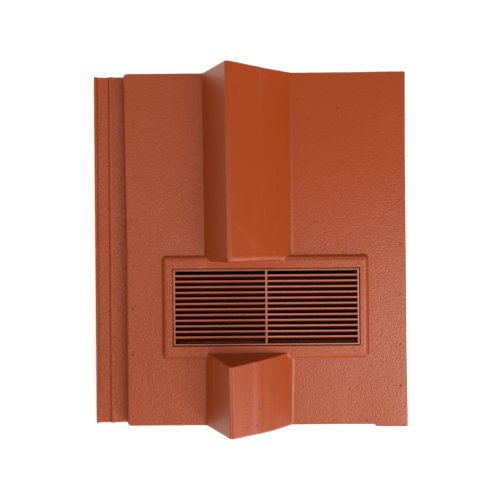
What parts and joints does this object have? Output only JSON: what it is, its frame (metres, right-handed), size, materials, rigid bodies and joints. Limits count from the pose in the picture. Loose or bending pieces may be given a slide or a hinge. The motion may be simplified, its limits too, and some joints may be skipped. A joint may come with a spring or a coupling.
{
  "type": "roof vent tile",
  "caption": "Interlocking plastic roof tile with a hollow raised ridge, side laps and a raised frame that holds a slatted air grille.",
  "frame": {"origin": "under the middle of the tile's plan, on the plane it rests on", "axes": "+X runs across the roof towards the covering lap, +Y runs up the slope to the tile's head, +Z points out of the roof"},
  "size_m": [0.383, 0.432, 0.076],
  "materials": {
    "formed_plastic": "terracotta colour, satin, fine leathery grain",
    "moulded_plastic": "terracotta colour, satin, smooth"
  },
  "bodies": {
    "root": {"tile_shell": "formed_plastic", "louvre_grille": "moulded_plastic"}
  },
  "joints": []
}
